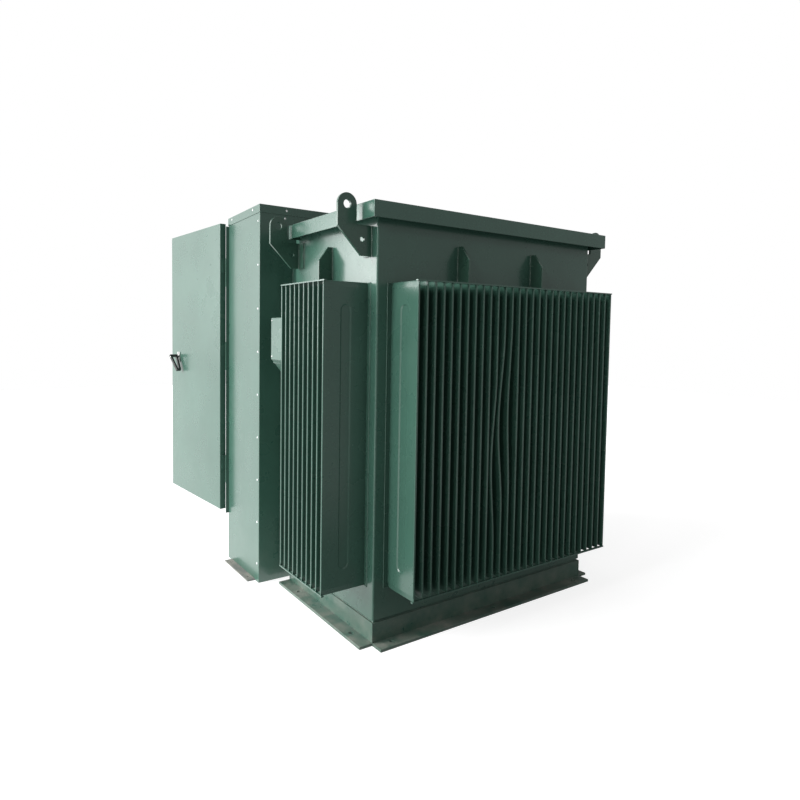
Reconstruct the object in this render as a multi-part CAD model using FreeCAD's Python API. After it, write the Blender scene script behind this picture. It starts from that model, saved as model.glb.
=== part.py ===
"""Pad-mounted three-phase transformer: tank with cooling fins, base frame and terminal cabinet.

Millimetres. +Z is up, the cabinet doors face -Y, the long fin bank faces +Y.
The origin is the plan centre of the tank, on the ground.
Each piece is built by its own function and written as one STEP file.
"""
import FreeCAD, Part
import math
import os

V = FreeCAD.Vector
UP = V(0, 0, 1)

# ---- tank -------------------------------------------------------------------------------
tank_width = 1360.0            # along X
tank_depth = 728.0             # along Y
tank_bottom_gap = 11.0         # underside of the tank above the base frame
cover_top = 1843.0
cover_plate = 8.0
cover_overhang = 59.0          # cover beyond the tank's side and rear walls
cover_front_setback = 37.0     # cover's front edge behind the tank's front wall
cover_skirt_height = 67.0
cover_skirt_sheet = 6.0
bottom_plate_inset = 9.0       # shadow gap between the tank and its base frame
tank_corner_r = 8.0
fold_r = 3.0                   # outer radius of folded sheet edges
edge_r = 1.0                   # softened edge of cut plate

# ---- cooling fins -----------------------------------------------------------------------
fin_bottom = 233.0             # lowest and highest points of a bank, bars included
fin_top = 1530.0
fin_sheet_pair = 9.0           # thickness of one folded fin
fin_seam = 3.0                 # thickness at the pinched ends
fin_pinch_height = 20.0
fin_tip_round = 3.6
rear_fin_count = 29
rear_fin_depth = 178.0
rear_fin_margin_right = 78.0   # tank's right edge to the first fin's middle
rear_fin_margin_left = 52.0    # last fin's middle to the tank's left edge
side_fin_count = 10
side_fin_depth = 213.0
side_fin_margin = 72.0         # tank's rear edge to the first fin's middle
side_bank_length = 377.0       # first fin's middle to the last one's
bead_width = 52.0              # pressed groove along the middle of each fin
bead_end_gap = 95.0
bead_press = 3.0
bead_slope = 6.0
bar_height = 6.0
bar_depth = 12.0
bar_overrun = 8.0              # bar beyond the outer fins' middles
# Three fins of the rear bank are knocked sideways: index from the +X end, shift, height of the peak.
bent_fins = {10: (22.0, 760.0), 11: (27.0, 930.0), 12: (15.0, 990.0)}
bend_half_length = 400.0
bend_steps = 16

# ---- wall ribs and lifting lugs ---------------------------------------------------------
rib_thickness = 10.0
rib_reach = 71.0
rib_top = 1705.0
rib_chamfer = 64.0
rear_rib_offset = 238.0
lug_thickness = 12.0
lug_inset = 48.0               # lug's middle from the tank's front and rear edges
lug_bottom = 1632.0
lug_foot_width = 53.0
lug_knee_height = 1745.0
lug_eye_height = 1833.0
lug_eye_outer_r = 45.0
lug_eye_hole_r = 17.5
lug_skirt_gap = 17.0           # lug's inner edge outboard of the cover skirt
lug_shoulder_gap = 19.0        # lug's shoulder below the cover skirt
lug_rope_hole_r = 10.5
lug_rope_hole_out = 47.0
lug_rope_hole_height = 1699.0
lug_pad_width = 42.0
lug_pad_thickness = 8.0

# ---- base frame -------------------------------------------------------------------------
base_top = 96.0
base_web = 8.0
base_flange_width = 64.0
base_flange_thickness = 12.0
base_front_extra = 42.0        # base frame beyond the tank's front wall
base_cross_width = 80.0
anchor_hole_r = 11.0
anchor_hole_out = 30.0
rear_anchor_from_end = 80.0
side_anchor_from_end = 121.0

# ---- terminal cabinet -------------------------------------------------------------------
cabinet_gap = 107.0            # tank's front wall to the cabinet's back panel
cabinet_depth = 433.0
cabinet_width = 1660.0
cabinet_height = 1965.0
sheet = 4.0
roof_slope = 11.0              # fall of the roof from back to front
roof_skirt = 42.0
roof_side_overhang = 3.0
roof_front_overhang = 4.0
jamb_side_width = 28.0
jamb_front_width = 60.0
header_drop = 50.0             # top rail of the door frame below the cabinet's height
header_height = 40.0
sill_height = 284.0
sill_lip = 30.0
throat_width = 1280.0
throat_bottom = 300.0
throat_top_drop = 265.0        # throat's top below the cabinet's height
foot_width = 43.0
foot_thickness = 6.0
foot_length = 331.0
foot_from_back = 45.0
foot_hole_r = 7.0
foot_hole_from_end = 45.0
barrier_x = 88.0               # wall between the two terminal compartments

# ---- terminals --------------------------------------------------------------------------
bushing_plate_width = 1440.0
bushing_plate_bottom = 760.0
bushing_plate_top = 1560.0
bushing_plate_thickness = 10.0
low_bushing_count = 4
low_bushing_pitch = 150.0
low_bushing_first_x = 210.0
low_bushing_height = 1180.0
high_bushing_count = 3
high_bushing_pitch = 210.0
high_bushing_first_x = -640.0
high_bushing_height = 1280.0

# ---- instrument box on the side wall ------------------------------------------------------
box_top = 1385.0
box_face_bottom = 1183.0
box_bottom = 1000.0
box_reach = 156.0
box_width = 140.0
box_from_rear = 544.0

# ---- doors ------------------------------------------------------------------------------
door_width = 734.0
door_bottom = 284.0
door_top_drop = 40.0           # door's top below the cabinet's height
door_depth = 34.0
door_sheet = 3.0
door_frame_gap = 10.0          # closed door's inner edge in front of the door frame
door_meeting_gap = 6.0
door_open_angle = 95.0
door_lip = 16.0
door_fold_r = 2.5
door_corner_gap = 0.2
stiffener_width = 60.0
stiffener_depth = 20.0
stiffener_places = (0.16, 0.42, 0.84)

# ---- hinges -----------------------------------------------------------------------------
hinge_from_door_ends = (235.0, 275.0)   # lowest and highest hinge from the door's bottom and top
hinge_middle_share = 0.54235            # middle hinge, as a share of the door's height
hinge_half_height = 80.0
hinge_barrel_r = 7.0
hinge_pin_r = 4.0
hinge_bore_clearance = 0.05
hinge_axis_out = 10.0          # hinge line beyond the cabinet's side
hinge_leaf = 4.0
hinge_leaf_width = 24.0
hinge_end_gap = 0.5
hinge_strip_width = 34.0
hinge_strip_below_door = 22.0
hinge_strip_lip = 12.0         # thin lip of the strip that closes the gap beside the open door
hinge_strip_lip_clearance = 1.0   # between the lip and the barrels

# ---- latch ------------------------------------------------------------------------------
latch_height = 1145.0          # shaft above the ground
latch_from_edge = 118.0        # shaft from the door's free edge
latch_plate_width = 40.0
latch_plate_height = 64.0
latch_plate_thickness = 5.0
handle_rest_turn = 33.0        # handle turned from pointing down, towards the hinges
handle_above_shaft = 14.0
handle_below_shaft = 102.0
handle_width = 20.0
handle_gap = 6.0
handle_root_depth = 50.0
handle_tip_depth = 27.0
handle_bar = 11.0              # thickness of the bars round the handle's window
handle_shaft_r = 6.0
handle_shaft_clearance = 0.06
cam_length = 46.0
cam_width = 18.0
cam_thickness = 5.0

# ---- worked out from the sizes above --------------------------------------------------------
tank_bottom = base_top + tank_bottom_gap
half_width = tank_width / 2
half_depth = tank_depth / 2
cover_skirt_bottom = cover_top - cover_skirt_height
lug_reach = cover_overhang + lug_skirt_gap + 2 * lug_eye_outer_r
back_y = -half_depth - cabinet_gap                  # outer face of the cabinet's back panel
front_y = back_y - cabinet_depth                    # front face of the door frame
side_x = cabinet_width / 2                          # outer face of the cabinet's sides
base_front_y = -half_depth - base_front_extra
header_top = cabinet_height - header_drop
header_bottom = header_top - header_height
throat_top = cabinet_height - throat_top_drop
door_top = cabinet_height - door_top_drop
hinge_heights = (door_bottom + hinge_from_door_ends[0],
                 door_bottom + (door_top - door_bottom) * hinge_middle_share,
                 door_top - hinge_from_door_ends[1])
hinge_strip_lip_thickness = door_frame_gap - hinge_barrel_r - hinge_strip_lip_clearance
door_back_y = front_y - door_frame_gap
door_face_y = door_back_y - door_depth
hinge_x = side_x + hinge_axis_out
hinge_y = door_back_y
door_edge_x = side_x - door_width                   # right door's free edge, closed
latch_x = door_edge_x + latch_from_edge


def box(x0, x1, y0, y1, z0, z1):
    """Box between two values on each axis."""
    return Part.makeBox(x1 - x0, y1 - y0, z1 - z0, V(x0, y0, z0))


def prism(points, sweep):
    """Solid made by sweeping the closed outline through these points."""
    return Part.Face(Part.makePolygon(points + [points[0]])).extrude(sweep)


def cylinder(radius, length, start, axis):
    return Part.makeCylinder(radius, length, start, axis)


def mirror_x(shape):
    return shape.mirror(V(0, 0, 0), V(1, 0, 0))


def mirror_y(shape):
    return shape.mirror(V(0, 0, 0), V(0, 1, 0))


def fuse(shapes):
    """One solid from touching or overlapping ones."""
    joined = shapes[0]
    for shape in shapes[1:]:
        joined = joined.fuse(shape)
    return joined.removeSplitter()


def along(edge, axis):
    """True for a straight edge that runs along this axis."""
    if not isinstance(edge.Curve, Part.Line):
        return False
    return abs(edge.Curve.Direction.dot(axis)) > 0.999


def rounded(shape, radius, wanted):
    """The shape with a fillet on every edge that the test picks."""
    return shape.makeFillet(radius, [edge for edge in shape.Edges if wanted(edge)])


def moved(shape, x=0.0, y=0.0, z=0.0):
    copy = shape.copy()
    copy.translate(V(x, y, z))
    return copy


# ---- tank -------------------------------------------------------------------------------
def tank_body():
    """Closed oil tank under the cover plate, with bent corners."""
    shell = box(-half_width, half_width, -half_depth, half_depth, tank_bottom, cover_top - cover_plate)
    return rounded(shell, tank_corner_r, lambda edge: along(edge, UP))


def tank_base_plate():
    """Bottom plate, set in from the walls so that a shadow gap shows above the base frame."""
    inset = bottom_plate_inset
    return box(-half_width + inset, half_width - inset, -half_depth + inset, half_depth - inset,
               base_top, tank_bottom)


def tank_cover():
    """Cover plate with its edges turned down as a skirt."""
    x = half_width + cover_overhang
    front = -half_depth + cover_front_setback
    rear = half_depth + cover_overhang
    skirt = cover_skirt_sheet
    outer = rounded(box(-x, x, front, rear, cover_skirt_bottom, cover_top), fold_r,
                    lambda edge: along(edge, UP) or edge.BoundBox.ZMin > cover_skirt_bottom + 1)
    sides = box(-x + skirt, x - skirt, front, rear - skirt, cover_skirt_bottom, cover_top - cover_plate)
    cover = outer.cut(sides)
    wing = box(half_width, x - skirt, front, front + skirt, cover_skirt_bottom, cover_top - cover_plate)
    return fuse([cover, wing, mirror_x(wing)])


def rear_rib():
    """Stiffening rib standing on the rear wall in the plane x = 0."""
    low = fin_top
    plate = prism([V(-rib_thickness / 2, half_depth, low),
                   V(-rib_thickness / 2, half_depth + rib_reach, low),
                   V(-rib_thickness / 2, half_depth + rib_reach, rib_top - rib_chamfer),
                   V(-rib_thickness / 2, half_depth + rib_reach / 3, rib_top),
                   V(-rib_thickness / 2, half_depth, rib_top)], V(rib_thickness, 0, 0))
    return rounded(plate, edge_r, lambda edge: edge.BoundBox.XLength < 0.1
                   and edge.BoundBox.YMax > half_depth + 1 and edge.BoundBox.ZMax > low + 1)


def rear_wall_ribs():
    return Part.makeCompound([moved(rear_rib(), x=-rear_rib_offset), moved(rear_rib(), x=rear_rib_offset)])


def side_wall_ribs():
    rib = moved(rear_rib(), y=-half_depth)
    rib.rotate(V(0, 0, 0), UP, -90)
    rib.translate(V(half_width, 0, 0))
    return Part.makeCompound([rib, mirror_x(rib)])


def lifting_lug():
    """Rear right lug: a plate across the side wall with an eye outboard of the cover, on a wall pad."""
    wall = half_width
    y0 = half_depth - lug_inset - lug_thickness / 2
    inner = wall + cover_overhang + lug_skirt_gap
    outer = wall + lug_reach
    eye_x = outer - lug_eye_outer_r
    shoulder = cover_skirt_bottom - lug_shoulder_gap
    plate = prism([V(wall, y0, lug_bottom), V(wall + lug_foot_width, y0, lug_bottom),
                   V(outer, y0, lug_knee_height), V(outer, y0, lug_eye_height),
                   V(inner, y0, lug_eye_height), V(inner, y0, shoulder), V(wall, y0, shoulder)],
                  V(0, lug_thickness, 0))
    across = V(0, 1, 0)
    eye = cylinder(lug_eye_outer_r, lug_thickness, V(eye_x, y0, lug_eye_height), across)
    pad = box(wall, wall + lug_pad_thickness, y0 - lug_pad_width, y0, lug_bottom, shoulder)
    eye_hole = cylinder(lug_eye_hole_r, lug_thickness, V(eye_x, y0, lug_eye_height), across)
    rope_hole = cylinder(lug_rope_hole_r, lug_thickness,
                         V(wall + lug_rope_hole_out, y0, lug_rope_hole_height), across)
    shape = fuse([plate, eye, pad]).cut(eye_hole).cut(rope_hole)
    return rounded(shape, edge_r, lambda edge: edge.BoundBox.YLength < 0.1
                   and edge.BoundBox.YMax > y0 - 1 and edge.BoundBox.XMin > wall + lug_pad_thickness + 1)


# ---- cooling fins -----------------------------------------------------------------------
def fin_side(sign, shift, peak_z):
    """One long edge of a fin seen from its tip, knocked sideways by shift around the height peak_z."""
    low = fin_bottom + bar_height + fin_pinch_height
    high = fin_top - bar_height - fin_pinch_height
    half = sign * fin_sheet_pair / 2
    if shift == 0:
        return Part.LineSegment(V(half, 0, low), V(half, 0, high)).toShape()
    points = []
    for step in range(bend_steps + 1):
        z = low + (high - low) * step / bend_steps
        away = min(1.0, abs(z - peak_z) / bend_half_length)
        points.append(V(half + shift * (1 + math.cos(math.pi * away)) / 2, 0, z))
    curve = Part.BSplineCurve()
    curve.interpolate(points)
    return curve.toShape()


def fin(depth, shift=0.0, peak_z=0.0):
    """Fin standing on the plane y = 0 and reaching to y = depth, pinched shut at both ends."""
    low = fin_bottom + bar_height
    high = fin_top - bar_height
    seam = fin_seam / 2
    left = fin_side(-1, shift, peak_z)
    right = fin_side(1, shift, peak_z)
    bottom = Part.makePolygon([left.Vertexes[0].Point, V(-seam, 0, low), V(seam, 0, low),
                               right.Vertexes[0].Point])
    top = Part.makePolygon([right.Vertexes[-1].Point, V(seam, 0, high), V(-seam, 0, high),
                            left.Vertexes[-1].Point])
    edges = Part.__sortEdges__(bottom.Edges + [right] + top.Edges + [left])
    plate = Part.Face(Part.Wire(edges)).extrude(V(0, depth, 0))
    tips = [edge for edge in plate.Edges if long_tip_edge(edge, depth)]
    return plate.makeFillet(fin_tip_round, tips)


def long_tip_edge(edge, depth):
    """True for the two long edges at a fin's tip."""
    bounds = edge.BoundBox
    at_tip = bounds.YMin > depth - 1
    return at_tip and bounds.ZLength > (fin_top - fin_bottom) / 2


def stadium(half_size, x, depth):
    """Upright stadium outline in the plane at x, with its middle at half the fin's depth."""
    low = fin_bottom + bead_end_gap + bead_width / 2
    high = fin_top - bead_end_gap - bead_width / 2
    y = depth / 2
    return Part.Wire([
        Part.makeLine(V(x, y + half_size, low), V(x, y + half_size, high)),
        Part.Arc(V(x, y + half_size, high), V(x, y, high + half_size), V(x, y - half_size, high)).toShape(),
        Part.makeLine(V(x, y - half_size, high), V(x, y - half_size, low)),
        Part.Arc(V(x, y - half_size, low), V(x, y, low - half_size), V(x, y + half_size, low)).toShape()])


def beaded_fin(depth):
    """Straight fin with the pressed groove in both of its faces."""
    shape = fin(depth)
    face = fin_sheet_pair / 2
    wide = stadium(bead_width / 2, face, depth)
    narrow = stadium(bead_width / 2 - bead_slope, face - bead_press, depth)
    groove = Part.makeLoft([wide, narrow], True, True)
    return shape.cut(groove).cut(mirror_x(groove))


def rear_fin_places():
    pitch = (tank_width - rear_fin_margin_right - rear_fin_margin_left) / (rear_fin_count - 1)
    return [half_width - rear_fin_margin_right - pitch * index for index in range(rear_fin_count)]


def side_fin_places():
    pitch = side_bank_length / (side_fin_count - 1)
    return [half_depth - side_fin_margin - pitch * index for index in range(side_fin_count)]


def rear_fins():
    straight = beaded_fin(rear_fin_depth)
    fins = []
    for index, x in enumerate(rear_fin_places()):
        shape = straight
        if index in bent_fins:
            shift, peak_z = bent_fins[index]
            shape = fin(rear_fin_depth, shift, peak_z)
        fins.append(moved(shape, x=x, y=half_depth))
    return Part.makeCompound(fins)


def right_fins():
    sideways = beaded_fin(side_fin_depth)
    sideways.rotate(V(0, 0, 0), UP, -90)
    return Part.makeCompound([moved(sideways, x=half_width, y=y) for y in side_fin_places()])


def bank_bars(start, end, outer):
    """The two strips across the fin tips of a bank, along X, with their outer edges at y = outer."""
    low = box(start, end, outer - bar_depth, outer, fin_bottom, fin_bottom + bar_height)
    high = box(start, end, outer - bar_depth, outer, fin_top - bar_height, fin_top)
    return Part.makeCompound([rounded(bar, edge_r, lambda edge: along(edge, V(1, 0, 0)))
                              for bar in (low, high)])


def rear_fin_bars():
    places = rear_fin_places()
    return bank_bars(places[-1] - bar_overrun, places[0] + bar_overrun, half_depth + rear_fin_depth)


def right_fin_bars():
    places = side_fin_places()
    bars = bank_bars(-places[0] - bar_overrun, -places[-1] + bar_overrun, half_width + side_fin_depth)
    bars.rotate(V(0, 0, 0), UP, -90)
    return bars


# ---- base frame -------------------------------------------------------------------------
def flange_holes(x_places, y):
    return [cylinder(anchor_hole_r, base_flange_thickness, V(x, y, 0), UP) for x in x_places]


def flange_edge(edge, axis):
    """True for the two long outer edges of a bolting flange that runs along this axis."""
    bounds = edge.BoundBox
    outside = max(bounds.YMin - half_depth, bounds.XMin - half_width)
    return along(edge, axis) and outside > base_flange_width - 1 and bounds.ZMin > 1


def base_channel_rear():
    """Rear member: web, top flange turned in, bolting flange turned out."""
    y = half_depth
    x = half_width - base_web
    shape = fuse([box(-half_width, half_width, y - base_web, y, 0, base_top),
                  box(-x, x, y - base_flange_width, y, base_top - base_web, base_top),
                  box(-half_width, half_width, y, y + base_flange_width, 0, base_flange_thickness)])
    ends = half_width - rear_anchor_from_end
    for hole in flange_holes((-ends, 0, ends), y + anchor_hole_out):
        shape = shape.cut(hole)
    return rounded(shape, 2 * edge_r, lambda edge: flange_edge(edge, V(1, 0, 0)))


def base_channel_front():
    """Front member, with its bolting flange turned in under the tank."""
    y = base_front_y
    x = half_width - base_web
    return fuse([box(-half_width, half_width, y, y + base_web, 0, base_top),
                 box(-x, x, y, y + base_flange_width, base_top - base_web, base_top),
                 box(-x, x, y, y + base_flange_width, 0, base_flange_thickness)])


def base_channel_right():
    """Side member between the rear and front webs; its bolting flange runs the frame's whole depth."""
    x = half_width
    shape = fuse([box(x - base_web, x, base_front_y + base_web, half_depth - base_web, 0, base_top),
                  box(x - base_flange_width, x, base_front_y + base_flange_width,
                      half_depth - base_flange_width, base_top - base_web, base_top),
                  box(x, x + base_flange_width, base_front_y, half_depth, 0, base_flange_thickness)])
    end = half_depth - side_anchor_from_end
    for y in (-end, end):
        shape = shape.cut(cylinder(anchor_hole_r, base_flange_thickness, V(x + anchor_hole_out, y, 0), UP))
    return rounded(shape, 2 * edge_r, lambda edge: flange_edge(edge, V(0, 1, 0)))


def base_cross_member():
    """Middle member under the tank, from the rear member to the front one."""
    return box(-base_cross_width / 2, base_cross_width / 2,
               base_front_y + base_flange_width, half_depth - base_flange_width, 0, base_top)


# ---- cabinet ----------------------------------------------------------------------------
def terminal_throat():
    """Housing that joins the tank's front wall to the cabinet's back panel."""
    return box(-throat_width / 2, throat_width / 2, back_y, -half_depth, throat_bottom, throat_top)


def roof_line(y):
    """Height of the roof's top face at y."""
    return cabinet_height - roof_slope * (back_y - y) / cabinet_depth


def under_roof(y):
    """Height of the roof sheet's lower face at y."""
    return roof_line(y) - sheet


def cabinet_back_panel():
    inner = side_x - sheet
    y = back_y - sheet
    return prism([V(-inner, y, 0), V(-inner, back_y, 0), V(-inner, back_y, under_roof(back_y)),
                  V(-inner, y, under_roof(y))], V(2 * inner, 0, 0))


def cabinet_side_right():
    y = front_y + jamb_side_width
    x = side_x - sheet
    panel = prism([V(x, back_y, 0), V(x, y, 0), V(x, y, under_roof(y)), V(x, back_y, under_roof(back_y))],
                  V(sheet, 0, 0))
    return rounded(panel, fold_r, lambda edge: along(edge, UP) and edge.BoundBox.XMin > side_x - 1
                   and edge.BoundBox.YMin > back_y - 1)


def front_jamb_right():
    """Folded corner post of the door frame."""
    high = under_roof(front_y)
    post = fuse([box(side_x - sheet, side_x, front_y, front_y + jamb_side_width, 0, high),
                 box(side_x - jamb_front_width, side_x, front_y, front_y + sheet, 0, high)])
    return rounded(post, fold_r, lambda edge: along(edge, UP) and edge.BoundBox.XMin > side_x - 1
                   and edge.BoundBox.YMax < front_y + 1)


def front_sill():
    """Lower front panel with its top edge folded in."""
    x = side_x - jamb_front_width
    return fuse([box(-x, x, front_y, front_y + sheet, 0, sill_height),
                 box(-x, x, front_y, front_y + sill_lip, sill_height - sheet, sill_height)])


def front_header():
    """Top rail of the door frame, between the corner posts."""
    x = side_x - jamb_front_width
    return prism([V(-x, front_y, header_bottom), V(-x, front_y, under_roof(front_y)),
                  V(-x, front_y + sheet, under_roof(front_y + sheet)), V(-x, front_y + sheet, header_bottom)],
                 V(2 * x, 0, 0))


def cabinet_roof():
    """Sloping cap whose skirt closes over the cabinet's walls."""
    x = side_x + roof_side_overhang
    back = back_y + roof_side_overhang
    front = front_y - roof_front_overhang
    outer = prism([V(-x, back, roof_line(back) - roof_skirt), V(-x, back, roof_line(back)),
                   V(-x, front, roof_line(front)), V(-x, front, roof_line(front) - roof_skirt)],
                  V(2 * x, 0, 0))
    outer = rounded(outer, fold_r, lambda edge: edge.BoundBox.ZMax > roof_line(front) - 1)
    low = cabinet_height - roof_slope - roof_skirt - sheet
    hollow = prism([V(-side_x, back_y, low), V(-side_x, back_y, under_roof(back_y)),
                    V(-side_x, front_y, under_roof(front_y)), V(-side_x, front_y, low)],
                   V(2 * side_x, 0, 0))
    return outer.cut(hollow)


def cabinet_feet():
    """Bolting strips along the feet of the side panels."""
    back = back_y - foot_from_back
    strip = box(side_x, side_x + foot_width, back - foot_length, back, 0, foot_thickness)
    for y in (back - foot_hole_from_end, back - foot_length + foot_hole_from_end):
        strip = strip.cut(cylinder(foot_hole_r, foot_thickness, V(side_x + foot_width / 2, y, 0), UP))
    return Part.makeCompound([strip, mirror_x(strip)])


def compartment_barrier():
    """Wall between the low-voltage and high-voltage compartments."""
    return box(barrier_x - sheet, barrier_x, front_y + sill_lip, back_y - sheet, 0, header_bottom)


def bushing_plate():
    x = bushing_plate_width / 2
    y = back_y - sheet
    left = box(-x, barrier_x - sheet, y - bushing_plate_thickness, y, bushing_plate_bottom, bushing_plate_top)
    right = box(barrier_x, x, y - bushing_plate_thickness, y, bushing_plate_bottom, bushing_plate_top)
    return Part.makeCompound([left, right])


def turned(profile, x, y, z):
    """Solid turned about a line along -Y through (x, y, z); profile lists (distance out, radius)."""
    points = [V(x, y, z)] + [V(x + radius, y - out, z) for out, radius in profile]
    points.append(V(x, y - profile[-1][0], z))
    face = Part.Face(Part.makePolygon(points + [points[0]]))
    return face.revolve(V(x, y, z), V(0, 1, 0), 360)


def low_voltage_bushings():
    """Short insulators, each with a flat spade that has two bolt holes."""
    plate = back_y - sheet - bushing_plate_thickness
    z = low_bushing_height
    bushings = []
    for index in range(low_bushing_count):
        x = low_bushing_first_x + low_bushing_pitch * index
        body = turned([(0, 46), (18, 46), (18, 36), (70, 30), (74, 16), (96, 16)], x, plate, z)
        spade = box(x - 5, x + 5, plate - 190, plate - 90, z - 32, z + 32)
        shape = fuse([body, spade])
        for out in (125, 165):
            shape = shape.cut(cylinder(7, 10, V(x - 5, plate - out, z), V(1, 0, 0)))
        bushings.append(shape)
    return Part.makeCompound(bushings)


def high_voltage_bushings():
    """Stepped insulators of the high-voltage side."""
    plate = back_y - sheet - bushing_plate_thickness
    profile = [(0, 62), (16, 62), (16, 50), (60, 46), (62, 34), (150, 26), (152, 14), (172, 14)]
    bushings = []
    for index in range(high_bushing_count):
        x = high_bushing_first_x + high_bushing_pitch * index
        bushings.append(turned(profile, x, plate, high_bushing_height))
    return Part.makeCompound(bushings)


def side_instrument_box():
    """Box on the tank's side wall with a sloping underside."""
    y = half_depth - box_from_rear
    x = half_width
    housing = prism([V(x, y, box_bottom), V(x + box_reach, y, box_face_bottom), V(x + box_reach, y, box_top),
                     V(x, y, box_top)], V(0, -box_width, 0))
    return rounded(housing, 2 * fold_r, lambda edge: edge.BoundBox.XMax > x + 1)


# ---- doors, built closed ----------------------------------------------------------------
def door_skin(x0, x1):
    """Outer sheet of a door, softened where its edges fold back."""
    skin = box(x0, x1, door_face_y, door_face_y + door_sheet, door_bottom, door_top)
    return rounded(skin, door_fold_r, lambda edge: edge.BoundBox.YMax < door_face_y + 1)


def door_edge(length):
    """Folded edge along +Z: a deep return in the plane x = 0 with a narrow lip turned to +X."""
    low = door_face_y + door_sheet
    return fuse([box(0, door_sheet, low, door_back_y, 0, length),
                 box(0, door_lip, door_back_y - door_sheet, door_back_y, 0, length)])


def door_edges(x0, x1):
    """The four folded edges behind a door's outer sheet; the upright ones run the full height."""
    gap = door_corner_gap
    upright = door_edge(door_top - door_bottom)
    level = door_edge(x1 - x0 - 2 * (door_lip + gap))
    level.rotate(V(0, 0, 0), V(0, 1, 0), 90)
    lower = level.mirror(V(0, 0, 0), UP)
    left = moved(upright, x=x0, z=door_bottom)
    right = moved(upright.mirror(V(0, 0, 0), V(1, 0, 0)), x=x1, z=door_bottom)
    across = x0 + door_lip + gap
    return Part.makeCompound([left, right, moved(level, x=across, z=door_top),
                              moved(lower, x=across, z=door_bottom)])


def left_door_panel():
    return door_skin(-side_x, door_edge_x - door_meeting_gap)


def left_door_edges():
    return door_edges(-side_x, door_edge_x - door_meeting_gap)


def right_door_panel():
    """Outer sheet of the opening door, with the hole for the latch shaft."""
    hole = cylinder(handle_shaft_r + handle_shaft_clearance, door_sheet,
                    V(latch_x, door_face_y, latch_height),
                    V(0, 1, 0))
    return door_skin(door_edge_x, side_x).cut(hole)


def right_door_edges():
    return door_edges(door_edge_x, side_x)


def right_door_stiffeners():
    """Three flat channels across the inside of the opening door."""
    bars = []
    for share in stiffener_places:
        middle = door_bottom + (door_top - door_bottom) * share
        bars.append(box(door_edge_x + door_lip, side_x - door_lip, door_face_y + door_sheet,
                        door_face_y + door_sheet + stiffener_depth,
                        middle - stiffener_width / 2, middle + stiffener_width / 2))
    return Part.makeCompound(bars)


def hinge_post():
    """Fixed hinge halves on one strip: three barrels on short arms, each with a pin standing up from it."""
    strip = box(side_x + hinge_leaf - hinge_strip_width, side_x + hinge_leaf,
                front_y - hinge_leaf, front_y, door_bottom - hinge_strip_below_door, door_top - door_lip)
    lip = box(side_x, side_x + hinge_leaf + hinge_strip_lip, front_y - hinge_strip_lip_thickness, front_y,
              door_bottom - hinge_strip_below_door, door_top - door_lip)
    pieces = [strip, lip]
    for middle in hinge_heights:
        low = middle - hinge_half_height
        pieces.append(cylinder(hinge_barrel_r, hinge_half_height, V(hinge_x, hinge_y, low), UP))
        pieces.append(cylinder(hinge_pin_r, 2 * hinge_half_height - hinge_leaf, V(hinge_x, hinge_y, low), UP))
        pieces.append(box(side_x, hinge_x, front_y - 2 * hinge_leaf, front_y - hinge_leaf, low, middle))
    return fuse(pieces)


def hinge_sleeves():
    """Moving hinge halves: a bored barrel on a leaf that lies on the door's edge."""
    halves = []
    for middle in hinge_heights:
        low = middle + hinge_end_gap
        height = hinge_half_height - hinge_end_gap
        barrel = cylinder(hinge_barrel_r, height, V(hinge_x, hinge_y, low), UP)
        leaf = box(side_x, side_x + hinge_leaf + 1, hinge_y - hinge_leaf_width, hinge_y, low, low + height)
        bore = cylinder(hinge_pin_r + hinge_bore_clearance, height, V(hinge_x, hinge_y, low), UP)
        halves.append(fuse([barrel, leaf]).cut(bore))
    return Part.makeCompound(halves)


def left_door_hinges():
    """Closed hinges of the door that stays shut."""
    barrels = []
    for middle in hinge_heights:
        low = middle - hinge_half_height
        barrel = cylinder(hinge_barrel_r, 2 * hinge_half_height, V(-hinge_x, hinge_y, low), UP)
        leaf = box(-side_x - hinge_leaf - 1, -side_x, hinge_y - hinge_leaf_width, front_y, low,
                   middle + hinge_half_height)
        barrels.append(fuse([barrel, leaf]))
    return Part.makeCompound(barrels)


def latch_plate():
    """Bearing plate under the handle."""
    plate = box(latch_x - latch_plate_width / 2, latch_x + latch_plate_width / 2,
                door_face_y - latch_plate_thickness, door_face_y,
                latch_height - latch_plate_height / 2, latch_height + latch_plate_height / 2)
    hole = cylinder(handle_shaft_r + handle_shaft_clearance, latch_plate_thickness,
                    V(latch_x, door_face_y - latch_plate_thickness, latch_height), V(0, 1, 0))
    plate = rounded(plate, edge_r, lambda edge: edge.BoundBox.YMax < door_face_y - 1)
    return plate.cut(hole)


def handle_outline(inset):
    """Wedge outline of the handle, seen from its side, drawn inwards by inset."""
    top = latch_height + handle_above_shaft - inset
    tip = latch_height - handle_below_shaft + inset
    back = door_face_y - latch_plate_thickness - handle_gap
    slope = (handle_root_depth - handle_tip_depth) / (handle_above_shaft + handle_below_shaft)
    x = latch_x - handle_width / 2
    return [V(x, back - inset, top),
            V(x, back - handle_root_depth + slope * inset + inset, top),
            V(x, back - handle_tip_depth - slope * inset + inset, tip),
            V(x, back - inset, tip)]


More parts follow.
